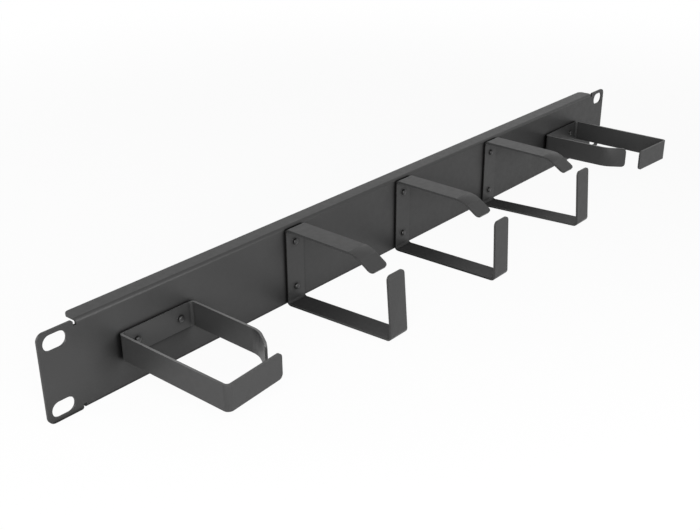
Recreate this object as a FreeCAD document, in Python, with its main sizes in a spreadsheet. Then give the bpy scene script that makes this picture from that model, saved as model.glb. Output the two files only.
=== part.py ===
"""Rack cable management panel: a folded 19-inch sheet panel, one unit high, with five riveted strip rings.

Millimetres. +Z is up, +X runs along the panel and the rings stand out to the front, towards -Y.
The origin is the middle of the four rack slots, on the rear face of the sheet.
"""
import FreeCAD, Part
import math
import os
import Sketcher
from FreeCAD import Vector

SIZES = [
    ("panel_width", 482.6, "over both rack ears"),
    ("panel_height", 43.0, "one rack unit, less the gap to the next one"),
    ("sheet_thickness", 1.2, "panel sheet"),
    ("sheet_bend_radius", 0.5, "inside radius of the two long folds"),
    ("flange_depth", 9.3, "front face to the rear edge of a flange"),
    ("flange_corner_radius", 3.0, "rear corners of the flanges"),
    ("ear_width", 17.8, "ear edge to its bend relief"),
    ("ear_corner_radius", 3.5, "outer corners of the ears"),
    ("relief_width", 1.5, "gap between an ear and a flange end"),
    ("relief_depth", 2.5, "from the top or bottom edge"),
    ("relief_corner_radius", 1.0, "ear corner at the relief"),
    ("slot_length", 11.7, "rack slot, end to end"),
    ("slot_width", 7.5, "rack slot, clears an M6 screw"),
    ("slot_edge_distance", 8.2, "ear edge to the slot centre"),
    ("slot_spacing", 31.75, "between the two slots of one ear"),
    ("ring_edge_distance", 60.8, "ear edge to the middle of an end ring"),
    ("strip_width", 12.5, "flat strip that the rings are bent from"),
    ("strip_thickness", 1.2, "flat strip that the rings are bent from"),
    ("strip_bend_radius", 1.5, "inside radius of the three tight bends"),
    ("strip_corner_radius", 2.4, "rounded corners at both ends of the strip"),
    ("full_arm_offset", 21.7, "ring middle to the outer face of the full arm"),
    ("full_arm_length", 68.5, "panel face to the front corner, along the arm"),
    ("short_arm_offset", 21.0, "ring middle to the outer face of the short arm"),
    ("short_arm_length", 45.5, "panel face to the tip bend, along the arm"),
    ("short_arm_tilt", 1.2, "short arm off square, closing is positive, degrees"),
    ("tip_length", 12.8, "tip bend to the end of the strip"),
    ("tip_angle", 31.2, "turn of the tip into the ring, degrees"),
    ("tip_bend_radius", 13.5, "inside radius of the tip bend"),
    ("front_leg_length", 34.0, "front corner to the end of the strip"),
    ("rivet_spacing", 25.0, "between the two rivets of a ring"),
    ("rivet_shank_diameter", 2.5, "solid rivet"),
    ("rivet_head_diameter", 4.4, "head at its seat on the ring"),
    ("rivet_crown_diameter", 2.4, "flat top of the head"),
    ("rivet_head_height", 1.3, "seat to flat top"),
    ("rivet_tail_diameter", 4.0, "set tail on the rear face of the panel"),
    ("rivet_tail_height", 0.9, "set tail on the rear face of the panel"),
    ("rivet_hole_clearance", 0.1, "hole over the shank, on the diameter"),
    ("ring_left_arm_tilt", -0.2, "full arm off square, closing is positive, degrees"),
    ("ring_1_arm_tilt", 1.8, "full arm off square, degrees"),
    ("ring_2_arm_tilt", 0.5, "full arm off square, degrees"),
    ("ring_3_arm_tilt", 2.7, "full arm off square, degrees"),
    ("ring_right_arm_tilt", 0.7, "full arm off square, degrees"),
    ("ring_left_front_tilt", 4.1, "front leg towards the panel, degrees"),
    ("ring_1_front_tilt", 4.5, "front leg towards the panel, degrees"),
    ("ring_2_front_tilt", 2.7, "front leg towards the panel, degrees"),
    ("ring_3_front_tilt", 4.6, "front leg towards the panel, degrees"),
    ("ring_right_front_tilt", 3.7, "front leg towards the panel, degrees"),
]

# name, place along the panel in ring spacings, and the direction in which the short arm lies
RINGS = [
    ("ring_left", -2, Vector(1, 0, 0)),
    ("ring_1", -1, Vector(0, 0, 1)),
    ("ring_2", 0, Vector(0, 0, 1)),
    ("ring_3", 1, Vector(0, 0, 1)),
    ("ring_right", 2, Vector(-1, 0, 0)),
]

RING_SPACING = "(Sizes.panel_width / 2 - Sizes.ring_edge_distance) / 2"
RIVET_OFFSETS = ["-Sizes.rivet_spacing / 2", "Sizes.rivet_spacing / 2"]
FORWARD = Vector(0, -1, 0)

# how close two points lie that count as one
MATCH = 0.01

# how a sketch numbers the points of a line or circle, and its own axes
START, END, CENTRE = range(1, 4)
X_AXIS, Y_AXIS = range(-1, -3, -1)
ORIGIN = (X_AXIS, START)
ON_AXIS = "0"


def make_sheet(doc):
    sheet = doc.addObject("Spreadsheet::Sheet", "Sizes")
    for row, (name, value, note) in enumerate(SIZES, start=1):
        sheet.set(f"A{row}", name)
        sheet.set(f"B{row}", str(value))
        sheet.set(f"C{row}", note)
        sheet.setAlias(f"B{row}", name)
    doc.recompute()
    return sheet


def new_body(doc, label):
    body = doc.addObject("PartDesign::Body", label)
    body.Label = label
    return body


def origin_feature(body, role):
    return next(item for item in body.Origin.OriginFeatures if item.Role == role)


def sketch_on(body, name, plane):
    sketch = body.newObject("Sketcher::SketchObject", name)
    sketch.AttachmentSupport = (origin_feature(body, plane), [""])
    sketch.MapMode = "FlatFace"
    return sketch


def drive(sketch, kind, elements, expression):
    """Add a dimension to a sketch and bind it to the sheet."""
    value = sketch.evalExpression(expression)
    index = sketch.addConstraint(Sketcher.Constraint(kind, *elements, value))
    sketch.setExpression(f"Constraints[{index}]", expression)


def draw_polygon(sketch, points):
    """Closed outline of straight lines; line n runs from point n to point n + 1."""
    count = len(points)
    for start in range(count):
        end = (start + 1) % count
        sketch.addGeometry(Part.LineSegment(Vector(*points[start], 0), Vector(*points[end], 0)))
    for start in range(count):
        sketch.addConstraint(Sketcher.Constraint("Coincident", start, END, (start + 1) % count, START))


def place_point(sketch, line, across, up, point=START):
    """Hold a point of a line or circle at two distances from the origin; None leaves one free."""
    for kind, axis, distance in (("DistanceX", Y_AXIS, across), ("DistanceY", X_AXIS, up)):
        if distance == ON_AXIS:
            sketch.addConstraint(Sketcher.Constraint("PointOnObject", line, point, axis))
        elif distance is not None:
            drive(sketch, kind, (*ORIGIN, line, point), distance)


def pad(body, sketch, name, length, both_sides=False):
    feature = body.newObject("PartDesign::Pad", name)
    feature.Profile = sketch
    feature.SideType = "Symmetric" if both_sides else "One side"
    feature.setExpression("Length", length)
    feature.Refine = True
    body.Document.recompute()
    return feature


def pocket(body, sketch, name, length, reverse):
    """Cut a sketch into the body, and stop if the cut has missed it."""
    volume_before = body.Shape.Volume
    feature = body.newObject("PartDesign::Pocket", name)
    feature.Profile = sketch
    feature.Type = "Length"
    feature.setExpression("Length", length)
    feature.Reversed = reverse
    body.Document.recompute()
    if not feature.Shape.Volume < volume_before:
        raise RuntimeError(f"{body.Label}: {name} cuts nothing")
    return feature


def edges_at(shape, axis, points):
    """Names of the straight edges along an axis (0, 1 or 2) that pass through the given points.

    A point holds the two other coordinates, in the order X, Y, Z.
    """
    names = []
    for number, edge in enumerate(shape.Edges, start=1):
        ends = [list(vertex.Point) for vertex in edge.Vertexes]
        if len(ends) != 2:
            continue
        for end in ends:
            del end[axis]
        for point in points:
            if all(math.dist(end, point) < MATCH for end in ends):
                names.append(f"Edge{number}")
    return names


def fillet(body, name, radius, axis, points, expected):
    """Round the edges that pass through the given points."""
    base = body.Tip
    names = edges_at(base.Shape, axis, points)
    if len(names) != expected:
        raise RuntimeError(f"{body.Label}: {name} found {len(names)} edges, not {expected}")
    feature = body.newObject("PartDesign::Fillet", name)
    feature.Base = (base, names)
    feature.setExpression("Radius", radius)
    body.Document.recompute()
    return feature


def channel_sketch(body, size):
    """Section of the folded sheet with sharp corners: face and two flanges. Sketch X is Y, sketch Y is Z."""
    sketch = sketch_on(body, "channel_section", "YZ_Plane")
    front = -size.sheet_thickness
    rear = size.flange_depth - size.sheet_thickness
    top = size.panel_height / 2
    under = top - size.sheet_thickness
    draw_polygon(sketch, [
        (rear, top), (front, top), (front, -top), (rear, -top),
        (rear, -under), (0, -under), (0, under), (rear, under),
    ])
    top_line, front_line, bottom_line, lower_end, lower_inside, back_line, upper_inside, upper_end = range(8)
    for line in (top_line, bottom_line, lower_inside, upper_inside):
        sketch.addConstraint(Sketcher.Constraint("Horizontal", line))
    for line in (front_line, lower_end, back_line, upper_end):
        sketch.addConstraint(Sketcher.Constraint("Vertical", line))
    place_point(sketch, front_line, "-Sizes.sheet_thickness", "Sizes.panel_height / 2")
    place_point(sketch, bottom_line, None, "-Sizes.panel_height / 2")
    place_point(sketch, lower_end, "Sizes.flange_depth - Sizes.sheet_thickness", None)
    place_point(sketch, lower_inside, None, "Sizes.sheet_thickness - Sizes.panel_height / 2")
    place_point(sketch, back_line, ON_AXIS, None)
    place_point(sketch, upper_inside, None, "Sizes.panel_height / 2 - Sizes.sheet_thickness")
    place_point(sketch, top_line, "Sizes.flange_depth - Sizes.sheet_thickness", None)
    return sketch


def ear_sketch(body, size):
    """Outline of the right ear in front view, stepped in at the two bend reliefs."""
    sketch = sketch_on(body, "ear_outline", "XZ_Plane")
    edge = size.panel_width / 2
    inner = edge - size.ear_width
    root = inner - size.relief_width
    top = size.panel_height / 2
    step = top - size.relief_depth
    draw_polygon(sketch, [
        (root, -step), (inner, -step), (inner, -top), (edge, -top),
        (edge, top), (inner, top), (inner, step), (root, step),
    ])
    for line in (0, 2, 4, 6):
        sketch.addConstraint(Sketcher.Constraint("Horizontal", line))
    for line in (1, 3, 5, 7):
        sketch.addConstraint(Sketcher.Constraint("Vertical", line))
    edge_x = "Sizes.panel_width / 2"
    inner_x = "Sizes.panel_width / 2 - Sizes.ear_width"
    root_x = "Sizes.panel_width / 2 - Sizes.ear_width - Sizes.relief_width"
    step_z = "Sizes.panel_height / 2 - Sizes.relief_depth"
    place_point(sketch, 0, root_x, f"-({step_z})")
    place_point(sketch, 2, inner_x, "-Sizes.panel_height / 2")
    place_point(sketch, 4, edge_x, "Sizes.panel_height / 2")
    place_point(sketch, 6, inner_x, step_z)
    return sketch


def slot_sketch(body, size):
    """The lower left rack slot."""
    sketch = sketch_on(body, "slot_outline", "XZ_Plane")
    radius = size.slot_width / 2
    reach = (size.slot_length - size.slot_width) / 2
    middle_x = size.slot_edge_distance - size.panel_width / 2
    middle_z = -size.slot_spacing / 2
    left, right = middle_x - reach, middle_x + reach
    quarter = math.pi / 2
    normal = Vector(0, 0, 1)
    left_circle = Part.Circle(Vector(left, middle_z, 0), normal, radius)
    right_circle = Part.Circle(Vector(right, middle_z, 0), normal, radius)
    lower, upper = middle_z - radius, middle_z + radius
    sketch.addGeometry(Part.ArcOfCircle(left_circle, quarter, 3 * quarter))
    sketch.addGeometry(Part.LineSegment(Vector(left, lower, 0), Vector(right, lower, 0)))
    sketch.addGeometry(Part.ArcOfCircle(right_circle, -quarter, quarter))
    sketch.addGeometry(Part.LineSegment(Vector(right, upper, 0), Vector(left, upper, 0)))
    left_arc, lower_line, right_arc, upper_line = range(4)
    sketch.addConstraint([
        Sketcher.Constraint("Tangent", left_arc, END, lower_line, START),
        Sketcher.Constraint("Tangent", lower_line, END, right_arc, START),
        Sketcher.Constraint("Tangent", right_arc, END, upper_line, START),
        Sketcher.Constraint("Tangent", upper_line, END, left_arc, START),
        Sketcher.Constraint("Horizontal", lower_line),
        Sketcher.Constraint("Equal", left_arc, right_arc),
    ])
    drive(sketch, "Radius", (left_arc,), "Sizes.slot_width / 2")
    drive(sketch, "DistanceX", (left_arc, CENTRE, right_arc, CENTRE), "Sizes.slot_length - Sizes.slot_width")
    left_x = "Sizes.slot_edge_distance - Sizes.panel_width / 2 - (Sizes.slot_length - Sizes.slot_width) / 2"
    place_point(sketch, left_arc, left_x, "-Sizes.slot_spacing / 2", CENTRE)
    return sketch


def rivet_places(ring):
    """Expressions for X and Z of the two rivets of a ring, which lie between its two arms."""
    _, place, short_arm_side = ring
    ring_x = f"{place} * {RING_SPACING}"
    if short_arm_side.z:
        return [(ring_x, offset) for offset in RIVET_OFFSETS]
    return [(f"{ring_x} + ({offset})", ON_AXIS) for offset in RIVET_OFFSETS]


def hole_circles(sketch, places):
    """Rivet holes at the given places, each an expression for sketch X and one for sketch Y."""
    radius = "(Sizes.rivet_shank_diameter + Sizes.rivet_hole_clearance) / 2"
    for across, up in places:
        centre = Vector(sketch.evalExpression(across), sketch.evalExpression(up), 0)
        circle = sketch.addGeometry(Part.Circle(centre, Vector(0, 0, 1), sketch.evalExpression(radius)))
        drive(sketch, "Radius", (circle,), radius)
        place_point(sketch, circle, across, up, CENTRE)


def make_panel(doc, size):
    """Folded sheet: channel section, rack ears, reliefs, slots and rivet holes."""
    body = new_body(doc, "panel")
    flange_length = "Sizes.panel_width - 2 * Sizes.ear_width - 2 * Sizes.relief_width"
    pad(body, channel_sketch(body, size), "channel", flange_length, both_sides=True)

    front = -size.sheet_thickness
    rear = size.flange_depth - size.sheet_thickness
    top = size.panel_height / 2
    under = top - size.sheet_thickness
    fillet(body, "fold_outside", "Sizes.sheet_bend_radius + Sizes.sheet_thickness", 0,
           [(front, top), (front, -top)], 2)
    fillet(body, "fold_inside", "Sizes.sheet_bend_radius", 0, [(0, under), (0, -under)], 2)

    ear = pad(body, ear_sketch(body, size), "ear", "Sizes.sheet_thickness")
    mirror = body.newObject("PartDesign::Mirrored", "other_ear")
    mirror.Originals = [ear]
    mirror.MirrorPlane = (origin_feature(body, "YZ_Plane"), [""])
    mirror.Refine = True
    body.Tip = mirror
    doc.recompute()

    edge = size.panel_width / 2
    inner = edge - size.ear_width
    root = inner - size.relief_width
    fillet(body, "ear_corners", "Sizes.ear_corner_radius", 1,
           [(edge, top), (edge, -top), (-edge, top), (-edge, -top)], 4)
    fillet(body, "relief_corners", "Sizes.relief_corner_radius", 1,
           [(inner, top), (inner, -top), (-inner, top), (-inner, -top)], 4)
    fillet(body, "flange_corners", "Sizes.flange_corner_radius", 2, [(root, rear), (-root, rear)], 4)

    slot = pocket(body, slot_sketch(body, size), "slot", "Sizes.sheet_thickness", reverse=True)
    pattern = body.newObject("PartDesign::LinearPattern", "slots")
    pattern.Originals = [slot]
    pattern.Direction = (origin_feature(body, "X_Axis"), [""])
    pattern.setExpression("Length", "Sizes.panel_width - 2 * Sizes.slot_edge_distance")
    pattern.Occurrences = 2
    pattern.Direction2 = (origin_feature(body, "Z_Axis"), [""])
    pattern.setExpression("Length2", "Sizes.slot_spacing")
    pattern.Occurrences2 = 2
    body.Tip = pattern
    doc.recompute()

    holes = sketch_on(body, "rivet_hole_outlines", "XZ_Plane")
    hole_circles(holes, [place for ring in RINGS for place in rivet_places(ring)])
    pocket(body, holes, "rivet_holes", "Sizes.sheet_thickness", reverse=True)
    return body


def ring_corners(size, arm_tilt, front_tilt):
    """Sharp corners of a bent strip: outer side from the tip to the front end, and inner side likewise.

    The ring lies in the XY plane: X from the full arm to the short one, Y out from the panel.
    """
    short_arm = math.radians(size.short_arm_tilt)
    tip = math.radians(size.short_arm_tilt + size.tip_angle)
    arm = math.radians(arm_tilt)
    front = math.radians(front_tilt)
    short_corner = Vector(size.short_arm_offset, 0, 0)
    tip_bend = short_corner + Vector(-math.sin(short_arm), math.cos(short_arm), 0) * size.short_arm_length
    full_corner = Vector(-size.full_arm_offset, 0, 0)
    front_corner = full_corner + Vector(math.sin(arm), math.cos(arm), 0) * size.full_arm_length
    outer = [
        tip_bend + Vector(-math.sin(tip), math.cos(tip), 0) * size.tip_length,
        tip_bend,
        short_corner,
        full_corner,
        front_corner,
        front_corner + Vector(math.cos(front), -math.sin(front), 0) * size.front_leg_length,
    ]
    runs = [(end - start).normalize() for start, end in zip(outer, outer[1:])]
    inward = [Vector(run.y, -run.x, 0) * size.strip_thickness for run in runs]
    inner = [outer[0] + inward[0]]
    for corner, before, after in zip(outer[1:-1], inward, inward[1:]):
        half = before + after
        inner.append(corner + half * (2 * size.strip_thickness ** 2 / half.dot(half)))
    inner.append(outer[-1] + inward[-1])
    return outer, inner


def ring_sketch(body, size, outer, inner):
    """Side view of a ring with sharp corners, dimensioned on its outer faces."""
    name = body.Label
    sketch = sketch_on(body, f"{name}_profile", "XY_Plane")
    loop = outer + inner[::-1]
    draw_polygon(sketch, [(point.x, point.y) for point in loop])
    tip, short_arm, back, full_arm, front_leg, front_end, *inside_lines, tip_end = range(len(loop))
    outside_lines = [front_leg, full_arm, back, short_arm, tip]
    sketch.addConstraint([
        Sketcher.Constraint("PointOnObject", back, START, X_AXIS),
        Sketcher.Constraint("PointOnObject", back, END, X_AXIS),
        Sketcher.Constraint("Perpendicular", tip, tip_end),
        Sketcher.Constraint("Perpendicular", front_leg, front_end),
    ])
    for outside_line, inside_line in zip(outside_lines, inside_lines, strict=True):
        sketch.addConstraint(Sketcher.Constraint("Parallel", outside_line, inside_line))
        drive(sketch, "Distance", (inside_line, START, outside_line), "Sizes.strip_thickness")
    place_point(sketch, back, "Sizes.short_arm_offset", None)
    place_point(sketch, full_arm, "-Sizes.full_arm_offset", None)
    drive(sketch, "Distance", (short_arm,), "Sizes.short_arm_length")
    drive(sketch, "Distance", (tip,), "Sizes.tip_length")
    drive(sketch, "Distance", (full_arm,), "Sizes.full_arm_length")
    drive(sketch, "Distance", (front_leg,), "Sizes.front_leg_length")
    drive(sketch, "Angle", (tip,), "(Sizes.short_arm_tilt + Sizes.tip_angle - 90) * 1 deg")
    drive(sketch, "Angle", (short_arm,), "(Sizes.short_arm_tilt - 90) * 1 deg")
    drive(sketch, "Angle", (full_arm,), f"(90 - Sizes.{name}_arm_tilt) * 1 deg")
    drive(sketch, "Angle", (front_leg,), f"-Sizes.{name}_front_tilt * 1 deg")
    return sketch


def make_ring(doc, size, ring):
    """One bent strip ring, placed on the front face of the panel."""
    name, place, short_arm_side = ring
    body = new_body(doc, name)
    outer, inner = ring_corners(size, getattr(size, f"{name}_arm_tilt"), getattr(size, f"{name}_front_tilt"))
    pad(body, ring_sketch(body, size, outer, inner), f"{name}_strip", "Sizes.strip_width", both_sides=True)

    def corner_fillet(feature, radius, points):
        fillet(body, f"{name}_{feature}", radius, 2, [(point.x, point.y) for point in points], len(points))

    corner_fillet("bends_outside", "Sizes.strip_bend_radius + Sizes.strip_thickness", outer[2:5])
    corner_fillet("bends_inside", "Sizes.strip_bend_radius", inner[2:5])
    corner_fillet("tip_outside", "Sizes.tip_bend_radius + Sizes.strip_thickness", outer[1:2])
    corner_fillet("tip_inside", "Sizes.tip_bend_radius", inner[1:2])
    round_strip_ends(body, size, outer, inner)

    holes = sketch_on(body, f"{name}_rivet_hole_outlines", "XZ_Plane")
    hole_circles(holes, [(offset, ON_AXIS) for offset in RIVET_OFFSETS])
    pocket(body, holes, f"{name}_rivet_holes", "Sizes.strip_thickness", reverse=False)

    body.Placement.Rotation = FreeCAD.Rotation(short_arm_side, FORWARD, short_arm_side.cross(FORWARD), "XYZ")
    body.setExpression("Placement.Base.x", f"{place} * {RING_SPACING}")
    body.setExpression("Placement.Base.y", "-Sizes.sheet_thickness")
    return body


def round_strip_ends(body, size, outer, inner):
    """Round the four corners at the two ends of the strip."""
    base = body.Tip
    half_width = size.strip_width / 2
    wanted = []
    for end in (0, -1):
        for side in (-half_width, half_width):
            wanted.append({(round(point.x, 2), round(point.y, 2), round(side, 2))
                           for point in (outer[end], inner[end])})
    names = []
    for number, edge in enumerate(base.Shape.Edges, start=1):
        ends = {tuple(round(value, 2) for value in vertex.Point) for vertex in edge.Vertexes}
        if ends in wanted:
            names.append(f"Edge{number}")
    if len(names) != len(wanted):
        raise RuntimeError(f"{body.Label}: {len(names)} strip end corners found, not {len(wanted)}")
    feature = body.newObject("PartDesign::Fillet", f"{body.Label}_strip_ends")
    feature.Base = (base, names)
    feature.setExpression("Radius", "Sizes.strip_corner_radius")
    body.Document.recompute()


def rivet_sketch(body, size):
    """Half section of a set rivet about the sketch's Y axis; the head's seat is at Y = 0, the tail at +Y."""
    sketch = sketch_on(body, f"{body.Label}_section", "XY_Plane")
    crown = size.rivet_crown_diameter / 2
    head = size.rivet_head_diameter / 2
    shank = size.rivet_shank_diameter / 2
    tail = size.rivet_tail_diameter / 2
    top = -size.rivet_head_height
    grip = size.sheet_thickness + size.strip_thickness
    tail_end = grip + size.rivet_tail_height
    draw_polygon(sketch, [
        (0, top), (0, tail_end), (tail, tail_end), (tail, grip),
        (shank, grip), (shank, 0), (head, 0), (crown, top),
    ])
    axis_line, end_line, tail_side, tail_seat, shank_line, head_seat, cone_line, top_line = range(8)
    for line in (end_line, tail_seat, head_seat, top_line):
        sketch.addConstraint(Sketcher.Constraint("Horizontal", line))
    for line in (axis_line, tail_side, shank_line):
        sketch.addConstraint(Sketcher.Constraint("Vertical", line))
    grip_text = "Sizes.sheet_thickness + Sizes.strip_thickness"
    place_point(sketch, axis_line, ON_AXIS, "-Sizes.rivet_head_height")
    place_point(sketch, tail_side, "Sizes.rivet_tail_diameter / 2", f"{grip_text} + Sizes.rivet_tail_height")
    place_point(sketch, shank_line, "Sizes.rivet_shank_diameter / 2", grip_text)
    place_point(sketch, cone_line, "Sizes.rivet_head_diameter / 2", ON_AXIS)
    place_point(sketch, top_line, "Sizes.rivet_crown_diameter / 2", None)
    return sketch


def make_rivet(doc, size, name, place):
    """One set rivet: head on the ring, tail on the rear face of the panel."""
    body = new_body(doc, name)
    sketch = rivet_sketch(body, size)
    turned = body.newObject("PartDesign::Revolution", f"{name}_turned")
    turned.Profile = sketch
    turned.ReferenceAxis = (sketch, ["V_Axis"])
    turned.Angle = 360
    across, up = place
    body.setExpression("Placement.Base.x", across)
    body.setExpression("Placement.Base.y", "-Sizes.sheet_thickness - Sizes.strip_thickness")
    body.setExpression("Placement.Base.z", up)
    doc.recompute()
    return body


def check(doc, bodies):
    """Stop if any object of the document failed or a sub-part isn't one valid solid."""
    for item in doc.Objects:
        if {"Invalid", "Error"} & set(item.State):
            raise RuntimeError(f"{item.Label} failed: {item.State}")
        if item.TypeId == "Sketcher::SketchObject" and not (item.solve() == 0 and item.FullyConstrained):
            raise RuntimeError(f"{item.Label} isn't solved and fully constrained")
    for body in bodies:
        shape = body.Shape
        if shape.isNull() or not shape.isValid() or len(shape.Solids) != 1:
            raise RuntimeError(f"{body.Label} isn't one valid solid")


def main():
    doc = FreeCAD.newDocument("rack_cable_management_panel")
    size = make_sheet(doc)
    bodies = [make_panel(doc, size)]
    for ring in RINGS:
        bodies.append(make_ring(doc, size, ring))
        for letter, place in zip("ab", rivet_places(ring)):
            bodies.append(make_rivet(doc, size, f"rivet_{ring[0].removeprefix('ring_')}_{letter}", place))
    doc.recompute()
    check(doc, bodies)
    os.makedirs("parts", exist_ok=True)
    for body in bodies:
        body.Shape.exportStep(f"parts/{body.Label}.step")
        print(f"{body.Label}: {body.Shape.Volume:.1f} mm3")


main()
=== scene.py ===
"""Looks of the rack cable management panel: satin black powder coat, domed rivets, white studio.

Metres, in the frame of the CAD model: +Z up, +X along the panel, the rings stand out to -Y.
The origin is the middle of the rack slots, on the rear face of the sheet.
"""
import math

import bmesh
import bpy
from mathutils import Matrix, Vector


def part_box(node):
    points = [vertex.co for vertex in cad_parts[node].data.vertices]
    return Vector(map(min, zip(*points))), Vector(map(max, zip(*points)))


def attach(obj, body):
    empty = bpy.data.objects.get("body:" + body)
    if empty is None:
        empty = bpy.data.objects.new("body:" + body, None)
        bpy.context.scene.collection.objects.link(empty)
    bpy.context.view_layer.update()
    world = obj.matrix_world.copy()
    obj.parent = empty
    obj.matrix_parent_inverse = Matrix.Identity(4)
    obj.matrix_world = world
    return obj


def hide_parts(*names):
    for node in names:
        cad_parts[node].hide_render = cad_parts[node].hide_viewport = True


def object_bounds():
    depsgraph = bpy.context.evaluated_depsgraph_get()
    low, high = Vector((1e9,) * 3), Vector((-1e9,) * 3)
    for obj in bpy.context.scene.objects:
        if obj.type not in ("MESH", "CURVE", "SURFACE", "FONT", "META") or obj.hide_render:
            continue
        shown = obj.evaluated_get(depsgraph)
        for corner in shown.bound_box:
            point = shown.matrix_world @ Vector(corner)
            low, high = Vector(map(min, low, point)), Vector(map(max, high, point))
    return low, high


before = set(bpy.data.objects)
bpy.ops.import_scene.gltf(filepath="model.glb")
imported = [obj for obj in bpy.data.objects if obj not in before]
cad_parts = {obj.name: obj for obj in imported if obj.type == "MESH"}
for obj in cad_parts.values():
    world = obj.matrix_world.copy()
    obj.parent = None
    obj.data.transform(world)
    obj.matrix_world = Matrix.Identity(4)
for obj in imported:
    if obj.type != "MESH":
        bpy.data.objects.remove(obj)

MM = 0.001
START_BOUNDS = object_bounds()
RINGS = ["ring_left", "ring_1", "ring_2", "ring_3", "ring_right"]
SIDE_RINGS = ["ring_left", "ring_right"]
RIVETS = [f"rivet_{ring.removeprefix('ring_')}_{letter}" for ring in RINGS for letter in "ab"]

# camera, found by fitting the panel's edges, slots and rings to the photograph: angles in radians, lens and
# sensor in millimetres
CAMERA_PLACE = Vector((-434.8, -329.8, 219.07)) * MM
CAMERA_TURN = 0.8692      # from +Y towards +X
CAMERA_TILT = -0.4343     # up from level
CAMERA_ROLL = -0.0067
CAMERA_LENS = 52.60
SENSOR_WIDTH = 36.0

# rounding that the coat leaves on the cut edges of sheet and strip
EDGE_ROUNDING = 0.4 * MM
EDGE_STEPS = 3
EDGE_ANGLE = math.radians(35)
WELD_DISTANCE = 0.001 * MM

# head of a set rivet, measured from its seat on the ring
HEAD_RADIUS = 2.2 * MM
HEAD_HEIGHT = 1.3 * MM
BRIM_HEIGHT = 0.15 * MM
CROWN_RADIUS = 1.6 * MM
CROWN_FULLNESS = 3.2      # 2 is a plain dome, and more gives a flatter top with steeper sides
CROWN_STEPS = 10

# shank and tail of a set rivet
SHANK_RADIUS = 1.25 * MM
TAIL_RADIUS = 2.0 * MM
TAIL_HEIGHT = 0.9 * MM
TAIL_ROUNDING = 0.35 * MM
CORNER_CUT = 0.3          # how far in the middle of the rounding lies, as a share of it

# turning of a rivet's half section into its mesh
TURN_STEPS = 40
CREASE_ANGLE = math.radians(40)

# nooks, where another surface is close to a face: painted shade there, a near-black colour and little shine
NOOK_PAINTED_SHADE = "#0a0a0a"
NOOK_REACH = 2.5 * MM
NOOK_CLOSED = 0.6         # openness at which a nook is darkest
NOOK_OPEN = 0.95          # openness at which it ends
OCCLUSION_SAMPLES = 8
FULL_SHINE = 0.5          # the shader's own level of reflection

FLOOR_RADIUS = 4.0
FLOOR_SIDES = 96
WHITE = "#ffffff"


def linear(hex_colour):
    """An sRGB hex colour as linear RGBA."""
    channels = [int(hex_colour[start:start + 2], 16) / 255 for start in (1, 3, 5)]
    return [c / 12.92 if c <= 0.04045 else ((c + 0.055) / 1.055) ** 2.4 for c in channels] + [1.0]


def scaled(colour, factor):
    """A linear RGBA colour made darker or lighter."""
    return [channel * factor for channel in colour[:3]] + [1.0]


def new_material(name):
    material = bpy.data.materials.new(name)
    material.use_nodes = True
    material.node_tree.nodes.clear()
    return material, material.node_tree


def add(tree, kind, inputs=None, **settings):
    """Add a node, set it up, and fill or link its inputs; a link is a pair of node and output name."""
    node = tree.nodes.new(kind)
    for name, value in settings.items():
        setattr(node, name, value)
    for name, value in (inputs or {}).items():
        if isinstance(value, tuple):
            tree.links.new(value[0].outputs[value[1]], node.inputs[name])
        else:
            node.inputs[name].default_value = value
    return node


# from noise to seen_directly, each function adds nodes and returns the link to their result

def noise(tree, feature_size, detail, roughness):
    place = add(tree, "ShaderNodeTexCoord")
    node = add(tree, "ShaderNodeTexNoise", {
        "Vector": (place, "Object"), "Scale": 1 / feature_size, "Detail": detail, "Roughness": roughness,
    })
    return node, "Fac"


def ramp(tree, value, start, end, at_start, at_end, **settings):
    """It goes from at_start to at_end while the value goes from start to end."""
    node = add(tree, "ShaderNodeMapRange", {
        "Value": value, "From Min": start, "From Max": end, "To Min": at_start, "To Max": at_end,
    }, **settings)
    return node, "Result"


def calculate(tree, operation, *values):
    node = add(tree, "ShaderNodeMath", dict(enumerate(values)), operation=operation)
    return node, "Value"


def calculate_vector(tree, operation, output, *vectors):
    """The output is Vector, or Value for a length."""
    node = add(tree, "ShaderNodeVectorMath", dict(enumerate(vectors)), operation=operation)
    return node, output


def mix_colours(tree, share, first, second):
    """The first colour where the share is 0, and the second where it is 1."""
    node = add(tree, "ShaderNodeMix", {"Factor": share, "A": first, "B": second}, data_type="RGBA")
    return node, "Result"


def bump(tree, height, depth, **over):
    """Bumps of the given depth, on top of another Normal where one is given."""
    node = add(tree, "ShaderNodeBump", {"Height": height, "Strength": 1.0, "Distance": depth, **over})
    return node, "Normal"


def open_share(tree, darkest):
    """1 on open faces, down to the given value in nooks: the mask of the painted shade there."""
    around = add(tree, "ShaderNodeAmbientOcclusion", {"Distance": NOOK_REACH}, samples=OCCLUSION_SAMPLES)
    return ramp(tree, (around, "AO"), NOOK_CLOSED, NOOK_OPEN, darkest, 1.0)


def open_side(tree):
    """The mask of a painted shadow: 1 on open faces, and less within some 20 mm of a wall that stands on
    their right, towards +X.

    It looks at what is around a point along a direction that leans from the face's normal towards +X, and
    upwards too, so that the paper under the part counts for little.
    """
    reach = 18.0 * MM
    lean = [0.5, 0.0, 0.6]    # added to the normal, which has length 1
    open_value = 0.895        # an open face gives a little under 1, as the leaned view meets the face itself

    surface = add(tree, "ShaderNodeNewGeometry")
    leaned = calculate_vector(tree, "ADD", "Vector", (surface, "Normal"), lean)
    direction = calculate_vector(tree, "NORMALIZE", "Vector", leaned)
    around = add(tree, "ShaderNodeAmbientOcclusion", {
        "Distance": reach, "Normal": direction,
    }, samples=OCCLUSION_SAMPLES)
    return ramp(tree, (around, "AO"), 0.0, open_value, 0.0, 1.0)


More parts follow.
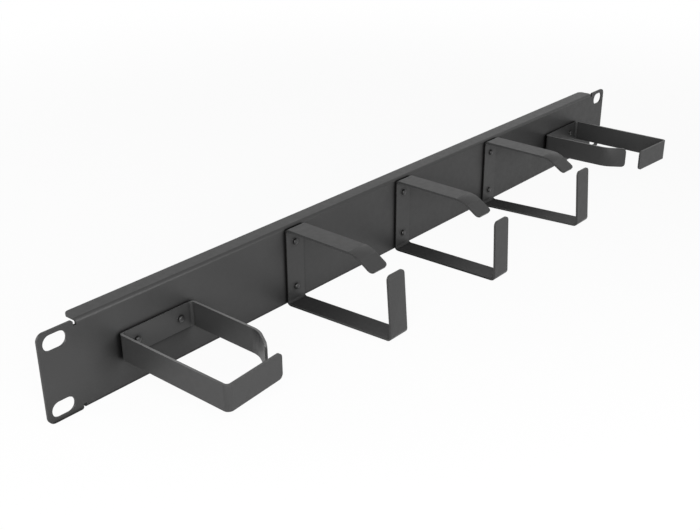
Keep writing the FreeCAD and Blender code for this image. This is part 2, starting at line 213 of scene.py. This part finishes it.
def paint_edge_highlights(tree, colour, strength):
    """The colour with a painted highlight: paler on faces and rounded edges that look up or down, and most
    so near the panel.
    """
    highlight_grey = linear("#8c8c8c")
    upright_from, upright_to = 0.3, 0.8    # vertical part of the normal: the painted highlight starts, and is full
    far_y, near_y = -65 * MM, -30 * MM
    left_far_out = 0.2                     # share of it at the rings' front ends

    place = add(tree, "ShaderNodeTexCoord")
    facing = add(tree, "ShaderNodeSeparateXYZ", {0: (place, "Normal")})
    edge = ramp(tree, calculate(tree, "ABSOLUTE", (facing, "Z")), upright_from, upright_to, 0.0, strength)
    point = add(tree, "ShaderNodeSeparateXYZ", {0: (place, "Object")})
    near = ramp(tree, (point, "Y"), far_y, near_y, left_far_out, 1.0)
    return mix_colours(tree, calculate(tree, "MULTIPLY", edge, near), colour, highlight_grey)


def seen_directly(tree):
    """1 for what the camera sees, also in a reflection or through glass, and 0 for light on its way."""
    path = add(tree, "ShaderNodeLightPath")
    seen = calculate(tree, "MAXIMUM", (path, "Is Camera Ray"), (path, "Is Glossy Ray"))
    return calculate(tree, "MAXIMUM", seen, (path, "Is Transmission Ray"))


def finish_coat(material, tree, colour, share, roughness, normal, ior):
    """Join a paint's colour, roughness and bumps in one shader, with painted shade where the open share is
    low: a near-black colour and less reflection.
    """
    coat = add(tree, "ShaderNodeBsdfPrincipled", {
        "Base Color": mix_colours(tree, share, linear(NOOK_PAINTED_SHADE), colour),
        "Roughness": roughness, "Normal": normal, "Metallic": 0.0, "IOR": ior,
        "Specular IOR Level": calculate(tree, "MULTIPLY", share, FULL_SHINE),
    })
    add(tree, "ShaderNodeOutputMaterial", {"Surface": (coat, "BSDF")})
    return material


def powder_coat(name, gloss_shift=0.0, nook_share=0.0, highlight_strength=0.0, side_shade=False):
    """Satin black powder coat, baked on steel: a near-black paint that flows to a faint orange peel.

    Fine grain breaks up its reflections, and broad patches differ a little in tone. Painted shade makes it
    dull and near-black in nooks, so a dark line runs round each plate and rivet. Where asked, a painted
    highlight makes faces and rounded edges that look up or down paler, most so near the panel. With
    side_shade a painted shadow makes it dark towards a wall on its right, as beside the rings that lie on
    their side.
    """
    grain_size, grain_height = 0.7 * MM, 0.010 * MM    # coarser than the real 0.2 mm, so that it shows
    peel_size, peel_height = 3.0 * MM, 0.012 * MM      # orange peel, crest to crest
    patch_size, patch_spread = 45.0 * MM, 0.1          # uneven spray, and how far its tone goes either way
    smooth, rough = 0.42 + gloss_shift, 0.48 + gloss_shift
    smooth_peel, rough_peel = 0.3, 0.7                 # peel values that are smoothest and roughest
    ior = 1.38

    material, tree = new_material(name)
    grain = noise(tree, grain_size, detail=2.0, roughness=0.6)
    peel = noise(tree, peel_size, detail=1.0, roughness=0.4)
    patch = noise(tree, patch_size, detail=3.0, roughness=0.55)
    base = linear("#2d2d2d")
    colour = mix_colours(tree, patch, scaled(base, 1 - patch_spread), scaled(base, 1 + patch_spread))
    # painted highlight: paler faces and edges that look up or down
    if highlight_strength:
        colour = paint_edge_highlights(tree, colour, highlight_strength)
    # painted shade in nooks: near-black colour and less shine where another surface is close
    share = open_share(tree, nook_share)
    # painted shadow: darker where a wall stands close on the right
    if side_shade:
        share = calculate(tree, "MULTIPLY", share, open_side(tree))
    roughness = ramp(tree, peel, smooth_peel, rough_peel, smooth, rough)
    normal = bump(tree, grain, grain_height, Normal=bump(tree, peel, peel_height))
    return finish_coat(material, tree, colour, share, roughness, normal, ior)


def rivet_lacquer():
    """Black lacquer on a steel rivet: smoother than the coat around it, so its crown shows a bright spot.

    Painted shade makes its steep side, in the nook with the plate, read as a dark ring.
    """
    mark_size, mark_height = 0.4 * MM, 0.006 * MM    # faint turning marks from the rivet set
    smooth, rough = 0.34, 0.44
    # lowest open share: painted shade in the nook round the head
    darkest = 0.05
    ior = 1.5

    material, tree = new_material("rivet_lacquer")
    marks = noise(tree, mark_size, detail=2.0, roughness=0.5)
    colour = mix_colours(tree, marks, linear("#1b1b1b"), linear("#272727"))
    roughness = ramp(tree, marks, 0.0, 1.0, smooth, rough)
    normal = bump(tree, marks, mark_height)
    return finish_coat(material, tree, colour, open_share(tree, darkest), roughness, normal, ior)


def studio_paper():
    """White paper: mostly plain white where it is seen, with a part of its own shading left for the shadow.

    That part fades out away from the panel, so the paper melts into the white around it.
    """
    shading_left = 0.06
    fade_from, fade_to = 0.3, 0.8

    material, tree = new_material("studio_paper")
    paper = add(tree, "ShaderNodeBsdfDiffuse", {"Color": linear("#f4f4f4")})
    white = add(tree, "ShaderNodeEmission", {"Color": linear(WHITE), "Strength": 1.0})
    place = add(tree, "ShaderNodeTexCoord")
    distance = calculate_vector(tree, "LENGTH", "Value", (place, "Object"))
    plain = ramp(tree, distance, fade_from, fade_to, 1 - shading_left, 1.0, interpolation_type="SMOOTHSTEP")
    share = calculate(tree, "MULTIPLY", seen_directly(tree), plain)
    mixed = add(tree, "ShaderNodeMixShader", {0: share, 1: (paper, "BSDF"), 2: (white, "Emission")})
    add(tree, "ShaderNodeOutputMaterial", {"Surface": (mixed, "Shader")})
    return material


def dress_steel(node_name, material):
    """Give a CAD node its coat and soften its cut edges."""
    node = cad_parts[node_name]
    for slot in node.material_slots:
        slot.link = "OBJECT"
        slot.material = material
    weld = node.modifiers.new("join_faces", "WELD")
    weld.merge_threshold = WELD_DISTANCE
    rounding = node.modifiers.new("coated_edges", "BEVEL")
    rounding.width = EDGE_ROUNDING
    rounding.segments = EDGE_STEPS
    rounding.limit_method = "ANGLE"
    rounding.angle_limit = EDGE_ANGLE
    rounding.harden_normals = True


def head_profile():
    """Half section of a set head, from crown to seat: distance from its axis and height above its seat.

    A pan-shaped crown stands on a thin brim with a small chamfer.
    """
    points = []
    for step in range(CROWN_STEPS + 1):
        angle = math.pi / 2 * step / CROWN_STEPS
        across = abs(math.sin(angle)) ** (2 / CROWN_FULLNESS)
        up = abs(math.cos(angle)) ** (2 / CROWN_FULLNESS) if step < CROWN_STEPS else 0.0
        points.append((CROWN_RADIUS * across, BRIM_HEIGHT + (HEAD_HEIGHT - BRIM_HEIGHT) * up))
    chamfer_width, chamfer_foot = 0.5 * BRIM_HEIGHT, 0.6 * BRIM_HEIGHT
    return points + [(HEAD_RADIUS - chamfer_width, chamfer_foot), (HEAD_RADIUS, 0.0)]


def tail_profile():
    """Half section of a set tail, from seat to end: distance from its axis and height above its seat."""
    cut = CORNER_CUT * TAIL_ROUNDING
    return [
        (TAIL_RADIUS, 0.0), (TAIL_RADIUS, TAIL_HEIGHT - TAIL_ROUNDING),
        (TAIL_RADIUS - cut, TAIL_HEIGHT - cut), (TAIL_RADIUS - TAIL_ROUNDING, TAIL_HEIGHT),
        (0.0, TAIL_HEIGHT),
    ]


def turned_mesh(name, profile, centre_x, centre_z):
    """Mesh of a half section turned about its axis, which runs along Y; its points are radius and Y."""
    mesh = bpy.data.meshes.new(name)
    bm = bmesh.new()
    vertices = [bm.verts.new((radius, y, 0)) for radius, y in profile]
    edges = [bm.edges.new(pair) for pair in zip(vertices, vertices[1:])]
    bmesh.ops.spin(bm, geom=vertices + edges, cent=(0, 0, 0), axis=(0, 1, 0), angle=2 * math.pi,
                   steps=TURN_STEPS, use_merge=True)
    bmesh.ops.remove_doubles(bm, verts=bm.verts, dist=WELD_DISTANCE)
    bmesh.ops.recalc_face_normals(bm, faces=bm.faces)
    bmesh.ops.translate(bm, verts=bm.verts, vec=(centre_x, 0, centre_z))
    bm.to_mesh(mesh)
    bm.free()
    mesh.shade_smooth()
    mesh.set_sharp_from_angle(angle=CREASE_ANGLE)
    return mesh


def domed_rivet(node_name, material):
    """A rivet with a domed head on the ring and a rounded tail behind the panel."""
    low, high = (Vector(corner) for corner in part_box(node_name))
    head_seat = low.y + HEAD_HEIGHT
    tail_seat = high.y - TAIL_HEIGHT
    profile = [(radius, head_seat - height) for radius, height in head_profile()]
    profile += [(SHANK_RADIUS, head_seat), (SHANK_RADIUS, tail_seat)]
    profile += [(radius, tail_seat + height) for radius, height in tail_profile()]
    mesh = turned_mesh(f"{node_name}_domed", profile, (low.x + high.x) / 2, (low.z + high.z) / 2)
    mesh.materials.append(material)
    rivet = bpy.data.objects.new(f"{node_name}_domed", mesh)
    bpy.context.scene.collection.objects.link(rivet)
    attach(rivet, "root")
    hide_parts(node_name)


def make_floor():
    mesh = bpy.data.meshes.new("studio_floor")
    bm = bmesh.new()
    bmesh.ops.create_circle(bm, cap_ends=True, segments=FLOOR_SIDES, radius=FLOOR_RADIUS)
    bm.to_mesh(mesh)
    bm.free()
    mesh.materials.append(studio_paper())
    floor = bpy.data.objects.new("studio_floor", mesh)
    floor.location.z = START_BOUNDS[0].z
    bpy.context.scene.collection.objects.link(floor)


def make_world():
    """Even white surroundings; what is seen of them is plain white."""
    ambient = 0.15

    world = bpy.data.worlds.new("studio")
    bpy.context.scene.world = world
    world.use_nodes = True
    tree = world.node_tree
    tree.nodes.clear()
    strength = ramp(tree, seen_directly(tree), 0.0, 1.0, ambient, 1.0)
    white = add(tree, "ShaderNodeBackground", {"Color": linear(WHITE), "Strength": strength})
    add(tree, "ShaderNodeOutputWorld", {"Surface": (white, "Background")})


def soft_box(side, place, aim, width, height, watts):
    """A rectangular area light at a place, turned towards its aim."""
    name = f"soft_box_{side}"
    light = bpy.data.lights.new(name, "AREA")
    light.shape = "RECTANGLE"
    light.size = width
    light.size_y = height
    light.energy = watts
    holder = bpy.data.objects.new(name, light)
    holder.location = place
    holder.rotation_euler = (Vector(aim) - Vector(place)).to_track_quat("-Z", "Y").to_euler()
    bpy.context.scene.collection.objects.link(holder)


def make_lights():
    soft_box("front", place=(-0.55, -0.5, 0.35), aim=(-0.2, 0, 0), width=0.4, height=0.4, watts=3.3)
    soft_box("low", place=(-0.12, -0.5, 0.1), aim=(-0.2, 0, 0), width=0.3, height=0.15, watts=1.3)
    soft_box("left", place=(-0.6, -0.3, 0.15), aim=(-0.15, 0, 0), width=0.2, height=0.2, watts=1.9)
    soft_box("back", place=(-0.55, 0.6, 0.2), aim=(0, 0, 0), width=0.5, height=0.3, watts=3.0)


def make_camera():
    camera = bpy.data.cameras.new("photo_camera")
    camera.sensor_fit = "HORIZONTAL"
    camera.sensor_width = SENSOR_WIDTH
    camera.lens = CAMERA_LENS
    holder = bpy.data.objects.new("photo_camera", camera)
    turn = (Matrix.Rotation(-CAMERA_TURN, 3, "Z") @ Matrix.Rotation(math.pi / 2 + CAMERA_TILT, 3, "X")
            @ Matrix.Rotation(CAMERA_ROLL, 3, "Z"))
    holder.matrix_world = Matrix.LocRotScale(CAMERA_PLACE, turn.to_quaternion(), None)
    bpy.context.scene.collection.objects.link(holder)
    bpy.context.scene.camera = holder


panel_coat = powder_coat("panel_powder_coat", nook_share=0.25, side_shade=True)
upright_ring_coat = powder_coat("upright_ring_powder_coat", gloss_shift=-0.02)
side_ring_coat = powder_coat("side_ring_powder_coat", gloss_shift=-0.02, highlight_strength=0.6)
lacquer = rivet_lacquer()
dress_steel("panel", panel_coat)
for ring in RINGS:
    dress_steel(ring, side_ring_coat if ring in SIDE_RINGS else upright_ring_coat)
for rivet in RIVETS:
    domed_rivet(rivet, lacquer)
make_floor()
make_world()
make_lights()
make_camera()
bpy.context.scene.view_settings.view_transform = "Standard"
